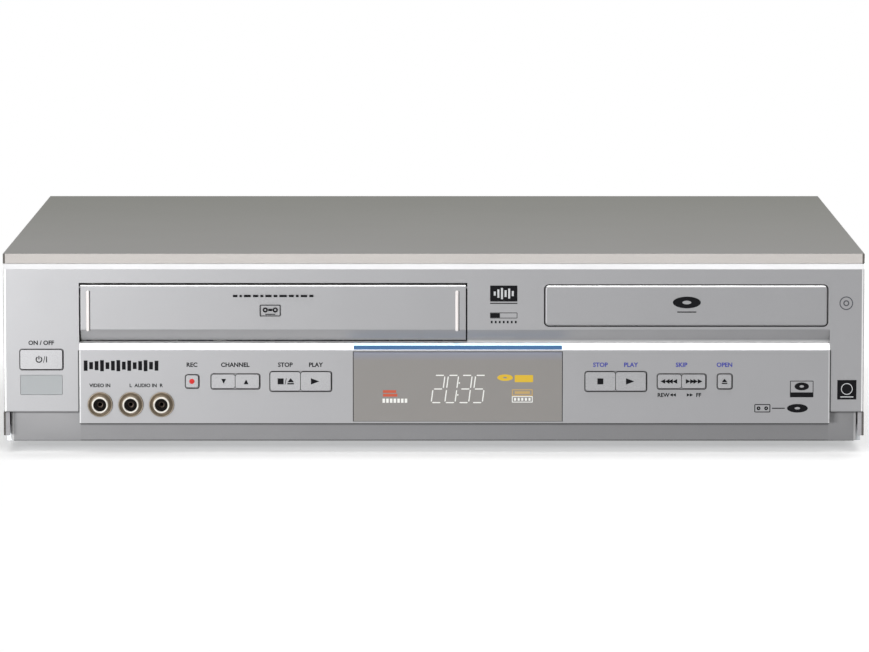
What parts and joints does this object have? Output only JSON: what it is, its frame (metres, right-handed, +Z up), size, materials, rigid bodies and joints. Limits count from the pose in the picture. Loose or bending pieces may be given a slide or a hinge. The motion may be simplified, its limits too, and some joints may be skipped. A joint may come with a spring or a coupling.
{
  "type": "dvd vcr combo player",
  "caption": "Disc player and tape recorder in one low case, with a sliding disc tray, an inward-opening cassette door, spring-back buttons and the working decks inside.",
  "frame": {"origin": "on the floor under the middle of the whole object", "axes": "+X to the right seen from the front, +Y to the rear, +Z up; the front faces -Y"},
  "size_m": [0.43, 0.3624, 0.0995],
  "materials": {
    "cover_paint": "satin grey paint",
    "silver_plastic": "satin silver",
    "skirt_plastic": "satin grey",
    "window_plastic": "smoked translucent grey",
    "light_blue": "lit translucent blue",
    "sensor_plastic": "smoked grey",
    "socket_metal": "plated",
    "socket_plastic": "moulded insulator",
    "screw_steel": "plated steel",
    "pan_steel": "zinc-coated sheet",
    "rear_paint": "grey paint",
    "foot_rubber": "dark rubber",
    "board_green": "soldered board",
    "board_tan": "paper board",
    "part_black": "moulded parts",
    "display_dark": "display glass",
    "deck_steel": "stamped steel",
    "drum_metal": "machined",
    "shaft_steel": "ground steel",
    "gear_plastic": "white acetal",
    "black_plastic": "moulded black",
    "rubber": "rubber",
    "legend_ink": "printed marks",
    "rec_red": "red dot"
  },
  "bodies": {
    "case": {"top_cover": "cover_paint", "base_chassis": "pan_steel", "rear_panel": "rear_paint", "front_bezel": "silver_plastic", "base_skirt": "skirt_plastic", "feet": "foot_rubber", "cover_screws": "screw_steel", "display_window": "window_plastic", "light_pipe": "light_blue", "sensor_window": "sensor_plastic", "front_socket_shells": "socket_metal", "front_socket_inserts": "socket_plastic", "front_board": "board_green", "display_module": "display_dark", "deck_plate": "deck_steel", "deck_side_frames": "deck_steel", "lower_drum": "drum_metal", "tape_heads": "drum_metal", "loader_frame": "black_plastic", "tray_motor": "shaft_steel", "drive_belt": "rubber", "clamp_bridge": "deck_steel", "main_board": "board_green", "power_board": "board_tan", "tuner": "pan_steel", "rear_socket_shells": "socket_metal", "rear_socket_inserts": "socket_plastic", "mains_inlet": "part_black"},
    "cassette_door": {"cassette_door": "silver_plastic"},
    "basket_carriage": {"basket_carriage": "black_plastic"},
    "cassette_basket": {"cassette_basket": "deck_steel"},
    "upper_drum": {"upper_drum": "drum_metal"},
    "capstan": {"capstan": "shaft_steel"},
    "pinch_arm": {"pinch_arm": "deck_steel"},
    "pinch_roller": {"pinch_roller": "rubber"},
    "supply_reel": {"supply_reel": "black_plastic"},
    "takeup_reel": {"takeup_reel": "black_plastic"},
    "supply_guide": {"supply_guide": "shaft_steel"},
    "takeup_guide": {"takeup_guide": "shaft_steel"},
    "tray": {"disc_tray": "black_plastic", "tray_front": "silver_plastic"},
    "tray_gear": {"tray_gear": "gear_plastic"},
    "motor_pulley": {"motor_pulley": "gear_plastic"},
    "traverse": {"traverse_frame": "black_plastic", "guide_rods": "shaft_steel"},
    "turntable": {"turntable": "black_plastic"},
    "optical_pickup": {"optical_pickup": "black_plastic"},
    "feed_gear": {"feed_gear": "gear_plastic"},
    "clamper": {"clamper": "gear_plastic"},
    "button_power": {"button_power": "silver_plastic"},
    "button_record": {"button_record": "silver_plastic"},
    "button_channel_down": {"button_channel_down": "silver_plastic"},
    "button_channel_up": {"button_channel_up": "silver_plastic"},
    "button_tape_stop": {"button_tape_stop": "silver_plastic"},
    "button_tape_play": {"button_tape_play": "silver_plastic"},
    "button_disc_stop": {"button_disc_stop": "silver_plastic"},
    "button_disc_play": {"button_disc_play": "silver_plastic"},
    "button_skip_back": {"button_skip_back": "silver_plastic"},
    "button_skip_forward": {"button_skip_forward": "silver_plastic"},
    "button_open": {"button_open": "silver_plastic"}
  },
  "joints": [
    {"name": "door_swing", "type": "hinge", "parent": "case", "child": "cassette_door", "pos_m": [-0.0801, -0.1751, 0.0829], "axis": [1, 0, 0], "range_deg": [0, 90], "stiffness_Nm_per_rad": 0.004, "springref_deg": -11.46},
    {"name": "basket_in", "type": "slide", "parent": "case", "child": "basket_carriage", "axis": [0, 1, 0], "range_m": [0, 0.055]},
    {"name": "basket_down", "type": "slide", "parent": "basket_carriage", "child": "cassette_basket", "axis": [0, 0, -1], "range_m": [0, 0.022]},
    {"name": "drum_spin", "type": "hinge", "parent": "case", "child": "upper_drum", "pos_m": [-0.0801, 0.0533, 0.0381], "axis": [0, 0.1045, 0.9945], "continuous": true},
    {"name": "capstan_spin", "type": "hinge", "parent": "case", "child": "capstan", "pos_m": [-0.0181, 0.0183, 0.0311], "axis": [0, 0, 1], "continuous": true},
    {"name": "pinch_swing", "type": "hinge", "parent": "case", "child": "pinch_arm", "pos_m": [0.0059, 0.0343, 0.0311], "axis": [0, 0, -1], "range_deg": [0, 25]},
    {"name": "roller_spin", "type": "hinge", "parent": "pinch_arm", "child": "pinch_roller", "pos_m": [-0.00185, 0.01371, 0.0391], "axis": [0, 0, 1], "continuous": true},
    {"name": "supply_spin", "type": "hinge", "parent": "case", "child": "supply_reel", "pos_m": [-0.1261, -0.0397, 0.0311], "axis": [0, 0, 1], "continuous": true},
    {"name": "takeup_spin", "type": "hinge", "parent": "case", "child": "takeup_reel", "pos_m": [-0.0341, -0.0397, 0.0311], "axis": [0, 0, 1], "continuous": true},
    {"name": "supply_guide_slide", "type": "slide", "parent": "case", "child": "supply_guide", "axis": [-0.3265, 0.9452, 0], "range_m": [0, 0.058]},
    {"name": "takeup_guide_slide", "type": "slide", "parent": "case", "child": "takeup_guide", "axis": [0.3265, 0.9452, 0], "range_m": [0, 0.058]},
    {"name": "tray_slide", "type": "slide", "parent": "case", "child": "tray", "axis": [0, -1, 0], "range_m": [0, 0.14]},
    {"name": "tray_gear_spin", "type": "hinge", "parent": "case", "child": "tray_gear", "pos_m": [0.07495, -0.1537, 0.0635], "axis": [0, 0, 1], "range_deg": [0, 895]},
    {"name": "motor_pulley_spin", "type": "hinge", "parent": "case", "child": "motor_pulley", "pos_m": [0.11095, -0.1471, 0.06], "axis": [0, 0, 1], "range_deg": [0, 3820]},
    {"name": "traverse_tilt", "type": "hinge", "parent": "case", "child": "traverse", "pos_m": [0.12595, -0.0104, 0.056], "axis": [1, 0, 0], "range_deg": [0, 4.5]},
    {"name": "disc_spin", "type": "hinge", "parent": "traverse", "child": "turntable", "pos_m": [0.12595, -0.1084, 0.07], "axis": [0, 0, 1], "continuous": true},
    {"name": "pickup_slide", "type": "slide", "parent": "traverse", "child": "optical_pickup", "axis": [0, 1, 0], "range_m": [0, 0.03]},
    {"name": "feed_gear_spin", "type": "hinge", "parent": "traverse", "child": "feed_gear", "pos_m": [0.16395, -0.0664, 0.063], "axis": [0, 0, 1], "range_deg": [-216, 0]},
    {"name": "clamper_spin", "type": "hinge", "parent": "case", "child": "clamper", "pos_m": [0.12595, -0.1084, 0.079], "axis": [0, 0, 1], "continuous": true},
    {"name": "power_press", "type": "slide", "parent": "case", "child": "button_power", "axis": [0, 1, 0], "range_m": [0, 0.0008], "stiffness_N_per_m": 600},
    {"name": "record_press", "type": "slide", "parent": "case", "child": "button_record", "axis": [0, 1, 0], "range_m": [0, 0.0008], "stiffness_N_per_m": 600},
    {"name": "channel_down_press", "type": "slide", "parent": "case", "child": "button_channel_down", "axis": [0, 1, 0], "range_m": [0, 0.0008], "stiffness_N_per_m": 600},
    {"name": "channel_up_press", "type": "slide", "parent": "case", "child": "button_channel_up", "axis": [0, 1, 0], "range_m": [0, 0.0008], "stiffness_N_per_m": 600},
    {"name": "tape_stop_press", "type": "slide", "parent": "case", "child": "button_tape_stop", "axis": [0, 1, 0], "range_m": [0, 0.0008], "stiffness_N_per_m": 600},
    {"name": "tape_play_press", "type": "slide", "parent": "case", "child": "button_tape_play", "axis": [0, 1, 0], "range_m": [0, 0.0008], "stiffness_N_per_m": 600},
    {"name": "disc_stop_press", "type": "slide", "parent": "case", "child": "button_disc_stop", "axis": [0, 1, 0], "range_m": [0, 0.0008], "stiffness_N_per_m": 600},
    {"name": "disc_play_press", "type": "slide", "parent": "case", "child": "button_disc_play", "axis": [0, 1, 0], "range_m": [0, 0.0008], "stiffness_N_per_m": 600},
    {"name": "skip_back_press", "type": "slide", "parent": "case", "child": "button_skip_back", "axis": [0, 1, 0], "range_m": [0, 0.0008], "stiffness_N_per_m": 600},
    {"name": "skip_forward_press", "type": "slide", "parent": "case", "child": "button_skip_forward", "axis": [0, 1, 0], "range_m": [0, 0.0008], "stiffness_N_per_m": 600},
    {"name": "open_press", "type": "slide", "parent": "case", "child": "button_open", "axis": [0, 1, 0], "range_m": [0, 0.0008], "stiffness_N_per_m": 600}
  ],
  "couplings": [
    {"joint": "tray_gear_spin", "follows": "tray_slide", "rad_per_m": 111.11},
    {"joint": "motor_pulley_spin", "follows": "tray_slide", "rad_per_m": 474.75},
    {"joint": "feed_gear_spin", "follows": "pickup_slide", "rad_per_m": -125},
    {"joint": "takeup_guide_slide", "follows": "supply_guide_slide", "ratio": 1}
  ]
}
